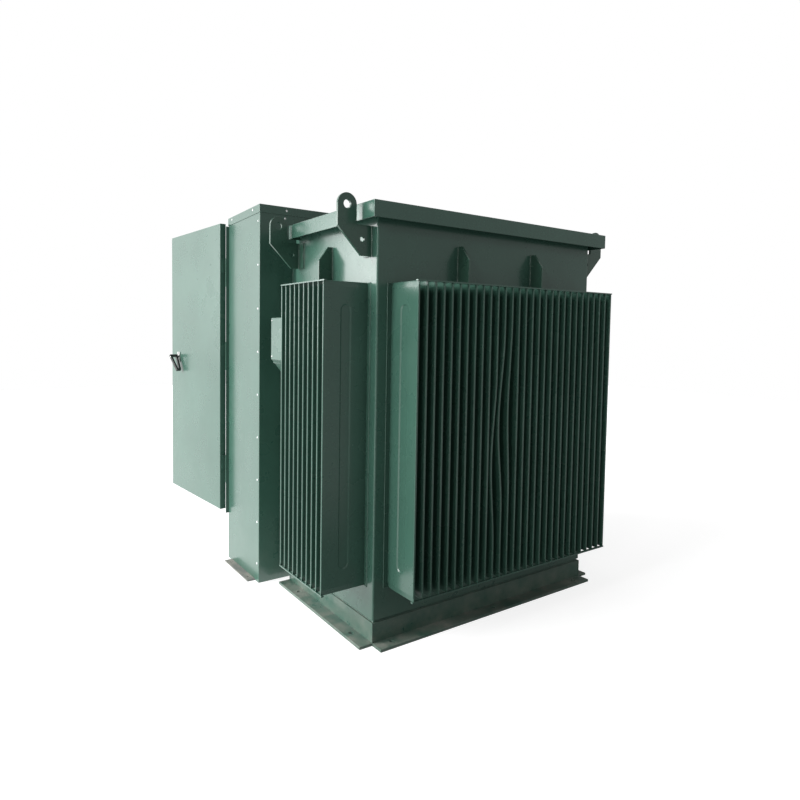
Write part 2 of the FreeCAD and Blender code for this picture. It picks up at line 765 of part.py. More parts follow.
def latch_handle():
    """Wedge-shaped pull with a window, on a shaft through the door that turns the locking cam."""
    back = door_face_y - latch_plate_thickness - handle_gap
    across = V(handle_width, 0, 0)
    pull = rounded(prism(handle_outline(0), across), 2 * edge_r, lambda edge: edge.BoundBox.YMin < back - 1)
    pull = pull.cut(prism(handle_outline(handle_bar), across))
    shaft_end = door_face_y + door_sheet + stiffener_depth
    shaft = cylinder(handle_shaft_r, shaft_end - back, V(latch_x, back, latch_height), V(0, 1, 0))
    cam = box(latch_x - cam_width / 2, latch_x + cam_width / 2, shaft_end - cam_thickness, shaft_end,
              latch_height - cam_length, latch_height + cam_width / 2)
    handle = fuse([pull, shaft, cam])
    handle.rotate(V(latch_x, 0, latch_height), V(0, -1, 0), handle_rest_turn)
    return handle


def swung(shape):
    """A piece of the opening door, turned with it to the open position."""
    copy = shape.copy()
    copy.rotate(V(hinge_x, hinge_y, 0), UP, door_open_angle)
    return copy


def all_nodes():
    """Every piece by its name."""
    lug = lifting_lug()
    side_fins = right_fins()
    side_bars = right_fin_bars()
    side_channel = base_channel_right()
    side_panel = cabinet_side_right()
    jamb = front_jamb_right()
    return {
        "tank_body": tank_body(),
        "tank_base_plate": tank_base_plate(),
        "tank_cover": tank_cover(),
        "rear_fins": rear_fins(),
        "right_fins": side_fins,
        "left_fins": mirror_x(side_fins),
        "rear_fin_bars": rear_fin_bars(),
        "right_fin_bars": side_bars,
        "left_fin_bars": mirror_x(side_bars),
        "rear_wall_ribs": rear_wall_ribs(),
        "side_wall_ribs": side_wall_ribs(),
        "lifting_lug_rear_right": lug,
        "lifting_lug_rear_left": mirror_x(lug),
        "lifting_lug_front_right": mirror_y(lug),
        "lifting_lug_front_left": mirror_x(mirror_y(lug)),
        "base_channel_rear": base_channel_rear(),
        "base_channel_front": base_channel_front(),
        "base_channel_right": side_channel,
        "base_channel_left": mirror_x(side_channel),
        "base_cross_member": base_cross_member(),
        "terminal_throat": terminal_throat(),
        "cabinet_back_panel": cabinet_back_panel(),
        "cabinet_side_right": side_panel,
        "cabinet_side_left": mirror_x(side_panel),
        "cabinet_roof": cabinet_roof(),
        "front_jamb_right": jamb,
        "front_jamb_left": mirror_x(jamb),
        "front_sill": front_sill(),
        "front_header": front_header(),
        "cabinet_feet": cabinet_feet(),
        "compartment_barrier": compartment_barrier(),
        "bushing_plate": bushing_plate(),
        "low_voltage_bushings": low_voltage_bushings(),
        "high_voltage_bushings": high_voltage_bushings(),
        "side_instrument_box": side_instrument_box(),
        "left_door_panel": left_door_panel(),
        "left_door_edges": left_door_edges(),
        "left_door_hinges": left_door_hinges(),
        "right_hinge_post": hinge_post(),
        "right_hinge_sleeves": swung(hinge_sleeves()),
        "right_door_panel": swung(right_door_panel()),
        "right_door_edges": swung(right_door_edges()),
        "right_door_stiffeners": swung(right_door_stiffeners()),
        "latch_plate": swung(latch_plate()),
        "latch_handle": swung(latch_handle()),
    }


os.makedirs("parts", exist_ok=True)
for name, shape in all_nodes().items():
    shape.exportStep("parts/" + name + ".step")
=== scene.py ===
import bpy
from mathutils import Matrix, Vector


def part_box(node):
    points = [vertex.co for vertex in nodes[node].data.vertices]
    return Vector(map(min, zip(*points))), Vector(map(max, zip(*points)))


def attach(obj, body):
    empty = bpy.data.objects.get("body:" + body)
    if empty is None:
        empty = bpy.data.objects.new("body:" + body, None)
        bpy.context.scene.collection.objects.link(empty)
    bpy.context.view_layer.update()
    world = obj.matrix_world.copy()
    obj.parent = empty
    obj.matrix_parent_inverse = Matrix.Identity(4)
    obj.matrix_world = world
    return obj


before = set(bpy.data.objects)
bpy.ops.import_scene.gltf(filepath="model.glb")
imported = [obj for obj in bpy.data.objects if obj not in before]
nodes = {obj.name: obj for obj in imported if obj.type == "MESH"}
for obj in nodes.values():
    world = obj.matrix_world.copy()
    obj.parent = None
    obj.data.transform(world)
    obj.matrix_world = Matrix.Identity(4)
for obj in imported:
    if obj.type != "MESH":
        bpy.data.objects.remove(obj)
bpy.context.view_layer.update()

import math

import bmesh
import bpy
from mathutils import Vector

scene = bpy.context.scene


# ---- Studio --------------------------------------------------------------------------------
# A wide pale floor under a soft light tent. The key light comes from the right of the cabinet,
# a large soft panel beside it shows in the gloss of the tank's side wall.
def add_node(tree, kind, inputs=None, **settings):
    """A node with its settings; an input is a value, or another node's output to be linked."""
    node = tree.nodes.new(kind)
    for name, value in settings.items():
        setattr(node, name, value)
    for key, value in (inputs or {}).items():
        if isinstance(value, bpy.types.NodeSocket):
            tree.links.new(value, node.inputs[key])
        else:
            node.inputs[key].default_value = value
    return node


def place(name, data):
    thing = bpy.data.objects.new(name, data)
    scene.collection.objects.link(thing)
    return thing


def mesh_piece(name, points, faces, edges=()):
    shape = bpy.data.meshes.new(name)
    shape.from_pydata([tuple(point) for point in points], list(edges), list(faces))
    return place(name, shape)


scene.view_settings.view_transform = "Standard"

floor_half = 12.0
floor = mesh_piece("floor", [(-floor_half, -floor_half, 0), (floor_half, -floor_half, 0),
                             (floor_half, floor_half, 0), (-floor_half, floor_half, 0)], [(0, 1, 2, 3)])
floor_paper = bpy.data.materials.new("floor_paper")
floor_paper.use_nodes = True
paper = floor_paper.node_tree
paper.nodes.clear()
shown = add_node(paper, "ShaderNodeBsdfPrincipled",
                 {"Base Color": (0.36, 0.36, 0.36, 1), "Roughness": 0.9,
                  "Emission Color": (1, 1, 1, 1), "Emission Strength": 0.80})
ground = add_node(paper, "ShaderNodeTexCoord").outputs["Object"]


def lobe(tree, where, way, start, full, base, gain):
    """base plus gain where the place or direction lies towards way, softly between start and full."""
    reach = add_node(tree, "ShaderNodeVectorMath", {0: where, 1: Vector(way).normalized()},
                     operation="DOT_PRODUCT")
    rise = add_node(tree, "ShaderNodeMapRange",
                    {"Value": reach.outputs["Value"], "From Min": start, "From Max": full,
                     "To Min": 0.0, "To Max": gain}, interpolation_type="SMOOTHSTEP")
    return add_node(tree, "ShaderNodeMath", {0: rise.outputs["Result"], 1: base}, operation="ADD").outputs[0]


# Painted glow on the floor: rays from the camera see a pale sheet with a flat glow of its own. All other rays
# see the floor glow in painted pools of light, strongest towards the key side and weaker on the tank's rear
# side, and this glow lights the object from below.
floor_glow_pools = lobe(paper, ground, (0.60, -0.80, 0), -0.3, 1.0, 0.14, 1.50)
floor_glow_pools = lobe(paper, ground, (-0.50, 0.87, 0), 0.8, 2.2, floor_glow_pools, 0.34)
painted_floor_glow = add_node(paper, "ShaderNodeEmission", {"Strength": floor_glow_pools})
direct = add_node(paper, "ShaderNodeLightPath").outputs["Is Camera Ray"]
sheet = add_node(paper, "ShaderNodeMixShader", {0: direct, 1: painted_floor_glow.outputs[0], 2: shown.outputs[0]})
add_node(paper, "ShaderNodeOutputMaterial", {"Surface": sheet.outputs[0]})
floor.data.materials.append(floor_paper)

tent = bpy.data.worlds.new("tent")
tent.use_nodes = True
scene.world = tent
sky = tent.node_tree
sky.nodes.clear()
look = add_node(sky, "ShaderNodeTexCoord").outputs["Generated"]
glow = lobe(sky, look, (0.50, -0.85, 0.15), 0.25, 0.95, 0.20, 1.75)
glow = lobe(sky, look, (-0.60, 0.80, 0.10), 0.0, 0.7, glow, 0.34)
around = add_node(sky, "ShaderNodeBackground", {"Strength": glow})
backdrop = add_node(sky, "ShaderNodeBackground", {"Strength": 1.0, "Color": (1, 1, 1, 1)})
seen = add_node(sky, "ShaderNodeLightPath").outputs["Is Camera Ray"]
both = add_node(sky, "ShaderNodeMixShader",
                {0: seen, 1: around.outputs[0], 2: backdrop.outputs[0]})
add_node(sky, "ShaderNodeOutputWorld", {"Surface": both.outputs[0]})


def aimed(thing, spot, target):
    thing.location = spot
    thing.rotation_euler = (Vector(spot) - Vector(target)).to_track_quat("Z", "Y").to_euler()


key_light = bpy.data.lights.new("key_light", "SUN")
key_light.energy = 4.5
key_light.angle = math.radians(40)
aimed(place("key_light", key_light), (8.5, -2.2, 5.0), (0, 0, 0))

edge_light = bpy.data.lights.new("edge_light", "SUN")
edge_light.energy = 0.45
edge_light.angle = math.radians(9)
aimed(place("edge_light", edge_light), (9.0, 4.2, 3.0), (0, 0, 0))

panel_light = bpy.data.lights.new("panel_light", "AREA")
panel_light.shape = "RECTANGLE"
panel_light.size = 1.7
panel_light.size_y = 1.7
panel_light.energy = 62
panel = place("panel_light", panel_light)
aimed(panel, (3.75, -3.2, 1.9), (0.68, 0.0, 1.3))
panel.visible_camera = False

lens = bpy.data.cameras.new("camera")
lens.lens = 26.92
lens.sensor_width = 36
lens.shift_x = 0.052
lens.shift_y = -0.045
camera = place("camera", lens)
camera.location = (2.0829, 2.3797, 1.3194)
camera.rotation_euler = [math.radians(turn) for turn in (86.964, -0.714, 146.899)]
scene.camera = camera


# ---- Base frame ----------------------------------------------------------------------------
# Two channels and two angles of rolled steel welded into a frame, sprayed dark green after
# welding. Road dust has settled on the flanges and the corners carry fillet welds.
def mottle(tree, where, scale, detail=4.0, rough=0.55):
    return add_node(tree, "ShaderNodeTexNoise",
                    {"Vector": where, "Scale": scale, "Detail": detail, "Roughness": rough}).outputs["Fac"]


def spread(tree, value, low, high, to_low=0.0, to_high=1.0):
    return add_node(tree, "ShaderNodeMapRange",
                    {"Value": value, "From Min": low, "From Max": high,
                     "To Min": to_low, "To Max": to_high}).outputs["Result"]


def tinted(tree, factor, first, second):
    mix = add_node(tree, "ShaderNodeMix", {0: factor}, data_type="RGBA")
    for index, colour in ((6, first), (7, second)):
        if isinstance(colour, bpy.types.NodeSocket):
            tree.links.new(colour, mix.inputs[index])
        else:
            mix.inputs[index].default_value = (*colour, 1)
    return mix.outputs[2]


def enamel(name, colour, drift=0.35, low_gloss=0.32, high_gloss=0.22, dust=0.10, mud=0.0, waves=0.0020,
           coat=0.35):
    """Sprayed enamel on sheet steel: colour drift, orange peel, slightly wavy panels, dust and mud."""
    paint = bpy.data.materials.new(name)
    paint.use_nodes = True
    tree = paint.node_tree
    shader = tree.nodes["Principled BSDF"]
    where = add_node(tree, "ShaderNodeTexCoord").outputs["Object"]
    height = add_node(tree, "ShaderNodeSeparateXYZ", {0: where}).outputs["Z"]
    upward = add_node(tree, "ShaderNodeSeparateXYZ",
                      {0: add_node(tree, "ShaderNodeNewGeometry").outputs["Normal"]}).outputs["Z"]

    lighter = [part * 1.5 for part in colour]
    base = tinted(tree, spread(tree, mottle(tree, where, 3.0, 5.0), 0.35, 0.7, 0.0, drift), colour, lighter)
    speckle = spread(tree, mottle(tree, where, 42.0, 3.0, 0.7), 0.58, 0.76, 0.0, 0.22)
    base = tinted(tree, speckle, base, [part * 0.7 for part in colour])
    lying = spread(tree, upward, 0.7, 0.95)
    patch = spread(tree, mottle(tree, where, 11.0, 6.0, 0.65), 0.36, 0.66)
    film = add_node(tree, "ShaderNodeMath", {0: lying, 1: patch}, operation="MULTIPLY").outputs[0]
    film = add_node(tree, "ShaderNodeMath", {0: film, 1: dust}, operation="MULTIPLY").outputs[0]
    low = spread(tree, height, 0.30, 0.0, 0.0, dust + mud)
    splash = add_node(tree, "ShaderNodeMath", {0: low, 1: patch}, operation="MULTIPLY").outputs[0]
    dirt = add_node(tree, "ShaderNodeMath", {0: film, 1: splash}, operation="ADD", use_clamp=True).outputs[0]
    base = tinted(tree, dirt, base, (0.24, 0.235, 0.205))
    tree.links.new(base, shader.inputs["Base Color"])

    gloss = spread(tree, mottle(tree, where, 7.0, 4.0), 0.3, 0.7, high_gloss, low_gloss)
    dull = add_node(tree, "ShaderNodeMath", {0: dirt, 1: 0.9, 2: gloss}, operation="MULTIPLY_ADD",
                    use_clamp=True).outputs[0]
    tree.links.new(dull, shader.inputs["Roughness"])
    shader.inputs["Coat Weight"].default_value = coat
    shader.inputs["Coat Roughness"].default_value = 0.16

    buckle = add_node(tree, "ShaderNodeBump",
                      {"Height": mottle(tree, where, 2.6, 1.0), "Strength": 1.0, "Distance": waves})
    peel = add_node(tree, "ShaderNodeBump",
                    {"Height": mottle(tree, where, 300.0, 1.0), "Strength": 1.0, "Distance": 0.00004,
                     "Normal": buckle.outputs[0]})
    tree.links.new(peel.outputs[0], shader.inputs["Normal"])
    tree.links.new(peel.outputs[0], shader.inputs["Coat Normal"])
    return paint


def finish_nodes(paint, *names):
    for name in names:
        for material_slot in nodes[name].material_slots:
            material_slot.material = paint


base_enamel = enamel("base_enamel", (0.033, 0.084, 0.062), low_gloss=0.36, high_gloss=0.24, dust=0.30,
                     mud=0.12, waves=0.0006, coat=0.2)
finish_nodes(base_enamel, "base_channel_rear", "base_channel_front", "base_channel_right",
             "base_channel_left", "base_cross_member")


def new_tree(name, sockets):
    """An empty Geometry Nodes tree with a geometry input, the named inputs, and a geometry output."""
    tree = bpy.data.node_groups.new(name, "GeometryNodeTree")
    tree.interface.new_socket("Geometry", in_out="INPUT", socket_type="NodeSocketGeometry")
    for label, kind in sockets:
        tree.interface.new_socket(label, in_out="INPUT", socket_type="NodeSocket" + kind)
    tree.interface.new_socket("Geometry", in_out="OUTPUT", socket_type="NodeSocketGeometry")
    return tree, add_node(tree, "NodeGroupInput").outputs


def grown(name, shape, tree, **values):
    """The plain mesh that a tree makes of a shape, as a new object."""
    holder = place(name + "_seed", shape)
    modifier = holder.modifiers.new("grow", "NODES")
    modifier.node_group = tree
    sockets = {item.name: item.identifier for item in tree.interface.items_tree if item.in_out == "INPUT"}
    for label, value in values.items():
        modifier[sockets[label.replace("_", " ")]] = value
    bpy.context.view_layer.update()
    result = bpy.data.meshes.new_from_object(holder.evaluated_get(bpy.context.evaluated_depsgraph_get()))
    holder.modifiers.remove(modifier)
    bpy.data.objects.remove(holder)
    result.name = name
    return place(name, result)


def weld_tree():
    """A rippled bead along every run of edges: mesh edges to curves, radius waved along the length."""
    tree, given = new_tree("weld_bead", [("Radius", "Float"), ("Pitch", "Float"), ("Ripple", "Float"),
                                         ("Paint", "Material")])
    step = add_node(tree, "ShaderNodeMath", {0: given["Pitch"], 1: 0.34}, operation="MULTIPLY")
    run = add_node(tree, "GeometryNodeMeshToCurve", {"Mesh": given["Geometry"]})
    even = add_node(tree, "GeometryNodeResampleCurve", {"Curve": run.outputs[0], "Length": step.outputs[0]},
                    mode="LENGTH")
    length = add_node(tree, "GeometryNodeSplineParameter").outputs["Length"]
    turns = add_node(tree, "ShaderNodeMath", {0: length, 1: given["Pitch"]}, operation="DIVIDE")
    angle = add_node(tree, "ShaderNodeMath", {0: turns.outputs[0], 1: math.tau}, operation="MULTIPLY")
    wave = add_node(tree, "ShaderNodeMath", {0: angle.outputs[0]}, operation="SINE")
    spot = add_node(tree, "GeometryNodeInputPosition")
    hand = add_node(tree, "ShaderNodeTexNoise", {"Vector": spot.outputs[0], "Scale": 9.0, "Detail": 2.0})
    shake = add_node(tree, "ShaderNodeMath", {0: hand.outputs["Fac"], 1: wave.outputs[0]}, operation="ADD")
    swell = add_node(tree, "ShaderNodeMath", {0: shake.outputs[0], 1: given["Ripple"], 2: 1.0},
                     operation="MULTIPLY_ADD")
    radius = add_node(tree, "ShaderNodeMath", {0: swell.outputs[0], 1: given["Radius"]},
                      operation="MULTIPLY")
    round_section = add_node(tree, "GeometryNodeCurvePrimitiveCircle", {"Resolution": 7, "Radius": 1.0})
    bead = add_node(tree, "GeometryNodeCurveToMesh",
                    {"Curve": even.outputs[0], "Profile Curve": round_section.outputs[0],
                     "Scale": radius.outputs[0], "Fill Caps": True})
    smooth = add_node(tree, "GeometryNodeSetShadeSmooth", {"Geometry": bead.outputs[0]})
    real = add_node(tree, "GeometryNodeRealizeInstances", {"Geometry": smooth.outputs[0]})
    done = add_node(tree, "GeometryNodeSetMaterial",
                    {"Geometry": real.outputs[0], "Material": given["Paint"]})
    add_node(tree, "NodeGroupOutput", {"Geometry": done.outputs[0]})
    return tree


bead_tree = weld_tree()


def welds(name, runs, paint, radius=0.0035, pitch=0.006, ripple=0.16, body="transformer"):
    """Weld beads along these runs of points, as one piece."""
    points, edges = [], []
    for run in runs:
        first = len(points)
        points += [tuple(point) for point in run]
        edges += [(first + index, first + index + 1) for index in range(len(run) - 1)]
    shape = bpy.data.meshes.new(name)
    shape.from_pydata(points, edges, [])
    piece = grown(name, shape, bead_tree, Radius=radius, Pitch=pitch, Ripple=ripple, Paint=paint)
    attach(piece, body)
    return piece


def both_sides(run):
    """The run and its mirror image across the plane x = 0."""
    return [run, [(-x, y, z) for x, y, z in run]]


tank_low, tank_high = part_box("tank_body")
frame_low, frame_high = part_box("base_channel_right")
web_x = tank_high.x
web_y = tank_high.y
flange_top = 0.012
base_corner_runs = both_sides([(web_x, web_y, flange_top), (web_x, web_y, frame_high.z - 0.001)])
base_corner_runs += both_sides([(web_x, frame_low.y, flange_top), (web_x, frame_low.y, frame_high.z - 0.001)])
welds("base_corner_welds", base_corner_runs, base_enamel, radius=0.0022, pitch=0.005)

# ---- Tank ----------------------------------------------------------------------------------
# Oil tank of mild steel sheet, bent at the corners and welded, under a cover whose edges are
# turned down. It is sprayed with the same deep green gloss as the rest.
gloss_green = enamel("gloss_green", (0.034, 0.088, 0.065), waves=0.0022)
finish_nodes(gloss_green, "tank_body", "tank_base_plate", "tank_cover", "terminal_throat")

plate_low, plate_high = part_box("tank_base_plate")
seam_z = plate_low.z + 0.001
bottom_ring = [(plate_low.x, plate_low.y, seam_z), (plate_high.x, plate_low.y, seam_z),
               (plate_high.x, plate_high.y, seam_z), (plate_low.x, plate_high.y, seam_z),
               (plate_low.x, plate_low.y, seam_z)]
welds("tank_bottom_weld", [bottom_ring], gloss_green, radius=0.003)

throat_low, throat_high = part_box("terminal_throat")


def upright_ring(low, high, y):
    """A closed run round a box's outline, in the plane across y."""
    return [(low.x, y, low.z), (high.x, y, low.z), (high.x, y, high.z), (low.x, y, high.z), (low.x, y, low.z)]


throat_runs = [upright_ring(throat_low, throat_high, y) for y in (throat_high.y, throat_low.y + 0.001)]
welds("throat_welds", throat_runs, gloss_green, radius=0.0032, pitch=0.007)

# ---- Cooling fins --------------------------------------------------------------------------
# Folded sheet fins, pinched and welded shut at both ends, with a pressed bead in each face. Flat
# bars across the tips hold each bank. The banks are welded to the tank wall all round.
finish_nodes(gloss_green, "rear_fins", "right_fins", "left_fins", "rear_fin_bars", "right_fin_bars",
             "left_fin_bars")

rear_fin_low, rear_fin_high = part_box("rear_fins")
side_fin_low, side_fin_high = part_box("right_fins")
fin_half = 0.0045
rear_fin_count = 29
side_fin_count = 10
seam_inset = 0.012
end_runs = []
rear_step = (rear_fin_high.x - rear_fin_low.x - 2 * fin_half) / (rear_fin_count - 1)
for number in range(rear_fin_count):
    x = rear_fin_high.x - fin_half - rear_step * number
    for z in (rear_fin_low.z, rear_fin_high.z):
        end_runs.append([(x, web_y, z), (x, rear_fin_high.y - seam_inset, z)])
side_step = (side_fin_high.y - side_fin_low.y - 2 * fin_half) / (side_fin_count - 1)
for number in range(side_fin_count):
    y = side_fin_high.y - fin_half - side_step * number
    for z in (side_fin_low.z, side_fin_high.z):
        end_runs += both_sides([(web_x, y, z), (side_fin_high.x - seam_inset, y, z)])
welds("fin_end_welds", end_runs, gloss_green, radius=0.0021, pitch=0.012, ripple=0.12)

bank_gap = 0.020
bank_runs = []
bank_top = rear_fin_high.z
bank_bottom = rear_fin_low.z
for x in (rear_fin_low.x - bank_gap, rear_fin_high.x + bank_gap):
    bank_runs.append([(x, web_y, bank_bottom), (x, web_y, bank_top)])
for z in (bank_bottom, bank_top):
    bank_runs.append([(rear_fin_low.x - bank_gap, web_y, z), (rear_fin_high.x + bank_gap, web_y, z)])
for y in (side_fin_low.y - bank_gap, side_fin_high.y + bank_gap):
    bank_runs += both_sides([(web_x, y, bank_bottom), (web_x, y, bank_top)])
for z in (bank_bottom, bank_top):
    bank_runs += both_sides([(web_x, side_fin_low.y - bank_gap, z), (web_x, side_fin_high.y + bank_gap, z)])
welds("bank_edge_welds", bank_runs, gloss_green, radius=0.0030, pitch=0.008)

# ---- Ribs and lifting lugs -----------------------------------------------------------------
# Flat plate ribs stiffen the wall over the fins; four lugs of thick plate with burnt eye holes
# carry the lifting load, each fillet-welded to the wall and to a short backing pad.
lug_paint = enamel("lug_paint", (0.028, 0.074, 0.052), low_gloss=0.34, high_gloss=0.22, waves=0.0004)
lug_names = ["lifting_lug_rear_right", "lifting_lug_rear_left", "lifting_lug_front_right",
             "lifting_lug_front_left"]
finish_nodes(lug_paint, "rear_wall_ribs", "side_wall_ribs", *lug_names)

plate_welds = []
rib_low, rib_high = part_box("rear_wall_ribs")
rib_half = 0.005
for x in (rib_high.x, rib_high.x - 2 * rib_half):
    plate_welds += both_sides([(x, web_y, rib_low.z), (x, web_y, rib_high.z)])
side_rib_low, side_rib_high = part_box("side_wall_ribs")
for y in (side_rib_low.y, side_rib_high.y):
    plate_welds += both_sides([(web_x, y, side_rib_low.z), (web_x, y, side_rib_high.z)])
lug_low, lug_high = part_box("lifting_lug_rear_right")
lug_thickness = 0.012
lug_below_skirt = 0.021
lug_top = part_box("tank_cover")[0].z - lug_below_skirt
pad_out = 0.008
for sign in (1, -1):
    lug_outer = sign * lug_high.y
    lug_inner = sign * (lug_high.y - lug_thickness)
    plate_welds += both_sides([(web_x, lug_outer, lug_low.z), (web_x, lug_outer, lug_top)])
    plate_welds += both_sides([(web_x + pad_out, lug_inner, lug_low.z),
                               (web_x + pad_out, lug_inner, lug_top)])
    pad_end = sign * lug_low.y
    plate_welds += both_sides([(web_x, pad_end, lug_low.z), (web_x, pad_end, lug_top)])
welds("rib_and_lug_welds", plate_welds, lug_paint, radius=0.0038, pitch=0.007, ripple=0.2)

# ---- Instrument box ------------------------------------------------------------------------
# A folded sheet housing welded to the side wall over the gauges, sprayed with the tank. Its lid
# closes on a seam round the front and is held by a small screw in each corner.
finish_nodes(gloss_green, "side_instrument_box")
housing_low, housing_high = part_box("side_instrument_box")
outline = [(web_x, housing_low.y, housing_low.z), (web_x, housing_low.y, housing_high.z),
           (web_x, housing_high.y, housing_high.z), (web_x, housing_high.y, housing_low.z),
           (web_x, housing_low.y, housing_low.z)]
welds("instrument_box_weld", [outline], gloss_green, radius=0.003)

lid_bottom = 1.183
lid_seam_x = housing_high.x - 0.016
slope = (lid_bottom - housing_low.z) / (housing_high.x - web_x)
seam_bottom = lid_bottom - slope * (housing_high.x - lid_seam_x)
lid_seam = [(lid_seam_x, housing_low.y, seam_bottom), (lid_seam_x, housing_low.y, housing_high.z),
            (lid_seam_x, housing_high.y, housing_high.z), (lid_seam_x, housing_high.y, seam_bottom),
            (lid_seam_x, housing_low.y, seam_bottom)]
welds("instrument_lid_seam", [lid_seam], gloss_green, radius=0.0014, pitch=0.02, ripple=0.0)

# ---- Cabinet shell -------------------------------------------------------------------------
# Terminal cabinet of folded sheet: back, sides, corner posts, sill, header and a sloping cap,
# held by rows of small pan-head screws. Bolting strips at its feet are bare grey with dried mud.
cabinet_green = enamel("cabinet_green", (0.034, 0.088, 0.065), low_gloss=0.34, high_gloss=0.24, waves=0.0026)
finish_nodes(cabinet_green, "cabinet_back_panel", "cabinet_side_right", "cabinet_side_left", "cabinet_roof",
             "front_jamb_right", "front_jamb_left", "front_sill", "front_header", "compartment_barrier",
             "bushing_plate")
foot_grey = enamel("foot_grey", (0.105, 0.112, 0.105), drift=0.5, low_gloss=0.6, high_gloss=0.42, dust=0.35,
                   mud=0.35, waves=0.0003, coat=0.0)
finish_nodes(foot_grey, "cabinet_feet")


def turned_mesh(name, profile, sides=20):
    """Solid of revolution about +Z from (radius, height) pairs, first and last on the axis."""
    shape = bmesh.new()
    rings = []
    for radius, height in profile:
        if radius < 1e-9:
            rings.append([shape.verts.new((0, 0, height))])
        else:
            rings.append([shape.verts.new((radius * math.cos(math.tau * k / sides),
                                           radius * math.sin(math.tau * k / sides), height))
                          for k in range(sides)])
    for lower, upper in zip(rings, rings[1:]):
        for k in range(sides):
            corners = [lower[k % len(lower)], lower[(k + 1) % len(lower)] if len(lower) > 1 else None,
                       upper[(k + 1) % len(upper)] if len(upper) > 1 else None, upper[k % len(upper)]]
            shape.faces.new([corner for corner in corners if corner is not None])
    bmesh.ops.recalc_face_normals(shape, faces=shape.faces)
    mesh = bpy.data.meshes.new(name)
    shape.to_mesh(mesh)
    shape.free()
    return mesh


def screw_head(name, radius, height, washer=1.35, slot_depth=0.45, sides=16):
    """Pan head on a washer with a round drive recess."""
    flat = radius * washer
    return turned_mesh(name, [(0, 0), (flat, 0), (flat, height * 0.22), (radius, height * 0.24),
                              (radius * 0.97, height * 0.62), (radius * 0.8, height * 0.9),
                              (radius * 0.5, height), (radius * 0.34, height),
                              (radius * 0.26, height * (1 - slot_depth)), (0, height * (1 - slot_depth))],
                       sides)


def row_tree():
    """A row of one piece along a line, its +Z turned to face the given way."""
    tree, given = new_tree("fixing_row", [("Start", "Vector"), ("End", "Vector"), ("Count", "Int"),
                                          ("Facing", "Vector"), ("Piece", "Object"), ("Paint", "Material")])
    line = add_node(tree, "GeometryNodeCurvePrimitiveLine", {"Start": given["Start"], "End": given["End"]})
    points = add_node(tree, "GeometryNodeCurveToPoints", {"Curve": line.outputs[0], "Count": given["Count"]},
                      mode="COUNT")
    turn = add_node(tree, "FunctionNodeAlignRotationToVector", {"Vector": given["Facing"]}, axis="Z")
    piece = add_node(tree, "GeometryNodeObjectInfo", {"Object": given["Piece"]})
    many = add_node(tree, "GeometryNodeInstanceOnPoints",
                    {"Points": points.outputs[0], "Instance": piece.outputs["Geometry"],
                     "Rotation": turn.outputs[0]})
    real = add_node(tree, "GeometryNodeRealizeInstances", {"Geometry": many.outputs[0]})
    done = add_node(tree, "GeometryNodeSetMaterial",
                    {"Geometry": real.outputs[0], "Material": given["Paint"]})
    add_node(tree, "NodeGroupOutput", {"Geometry": done.outputs[0]})
    return tree


fixing_tree = row_tree()


def joined(name, parts):
    """One object from several, all sitting at the origin, in the first slot of the first part."""
    whole = bmesh.new()
    paint = parts[0].data.materials[0]
    for part in parts:
        whole.from_mesh(part.data)
    mesh = bpy.data.meshes.new(name)
    whole.to_mesh(mesh)
    whole.free()
    for part in parts:
        bpy.data.objects.remove(part)
    mesh.materials.append(paint)
    return place(name, mesh)


def fixings(name, head, rows, paint, body="transformer"):
    """Rows of one fixing as one piece; a row is (start, end, count, way it faces)."""
    pattern = place(name + "_pattern", head)
    parts = [grown(f"{name}_{index}", bpy.data.meshes.new("row"), fixing_tree, Start=start, End=end,
                   Count=count, Facing=facing, Piece=pattern, Paint=paint)
             for index, (start, end, count, facing) in enumerate(rows)]
    bpy.data.objects.remove(pattern)
    piece = joined(name, parts)
    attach(piece, body)
    return piece


def bright_metal(name, colour, roughness, stain=(0.05, 0.045, 0.04), metallic=1.0):
    """Plated or dark metal with faint stains and fine brushing."""
    metal = bpy.data.materials.new(name)
    metal.use_nodes = True
    tree = metal.node_tree
    shader = tree.nodes["Principled BSDF"]
    where = add_node(tree, "ShaderNodeTexCoord").outputs["Object"]
    tarnish = spread(tree, mottle(tree, where, 60.0, 5.0, 0.7), 0.5, 0.8, 0.0, 0.6)
    tree.links.new(tinted(tree, tarnish, colour, stain), shader.inputs["Base Color"])
    tree.links.new(spread(tree, mottle(tree, where, 90.0, 3.0), 0.3, 0.7, roughness * 0.8, roughness * 1.3),
                   shader.inputs["Roughness"])
    grain = add_node(tree, "ShaderNodeBump", {"Height": mottle(tree, where, 900.0, 2.0), "Strength": 0.4,
                                              "Distance": 0.00003})
    tree.links.new(grain.outputs[0], shader.inputs["Normal"])
    shader.inputs["Metallic"].default_value = metallic
    return metal


screw_steel = bright_metal("screw_steel", (0.010, 0.014, 0.012), 0.60, stain=(0.02, 0.02, 0.02), metallic=0.0)

side_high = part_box("cabinet_side_right")[1]
back_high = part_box("cabinet_back_panel")[1]
roof_low, roof_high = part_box("cabinet_roof")
screw = screw_head("panel_screw", 0.0040, 0.0030)
side_screws = (0.097, 1.8815)  # heights of the lowest and highest screw of a side
roof_end_half = 0.68           # half the length of the row along the roof's rear edge
roof_end_height = 1.945
back_half = 0.689              # the same for the back panel's top row
back_height = 1.905
rows = []
side_screw_y = side_high.y - 0.021
for sign in (1, -1):
    face = sign * side_high.x
    out = (sign, 0, 0)
    rows.append(((face, side_screw_y, side_screws[0]), (face, side_screw_y, side_screws[1]), 9, out))
    roof_face = sign * roof_high.x
    rows.append(((roof_face, side_high.y - 0.085, roof_low.z + 0.034),
                 (roof_face, side_high.y - 0.374, roof_low.z + 0.028), 2, out))
rows.append(((-roof_end_half, roof_high.y, roof_end_height), (roof_end_half, roof_high.y, roof_end_height), 5,
             (0, 1, 0)))
rows.append(((-back_half, back_high.y, back_height), (back_half, back_high.y, back_height), 5, (0, 1, 0)))
fixings("cabinet_screws", screw, rows, screw_steel)

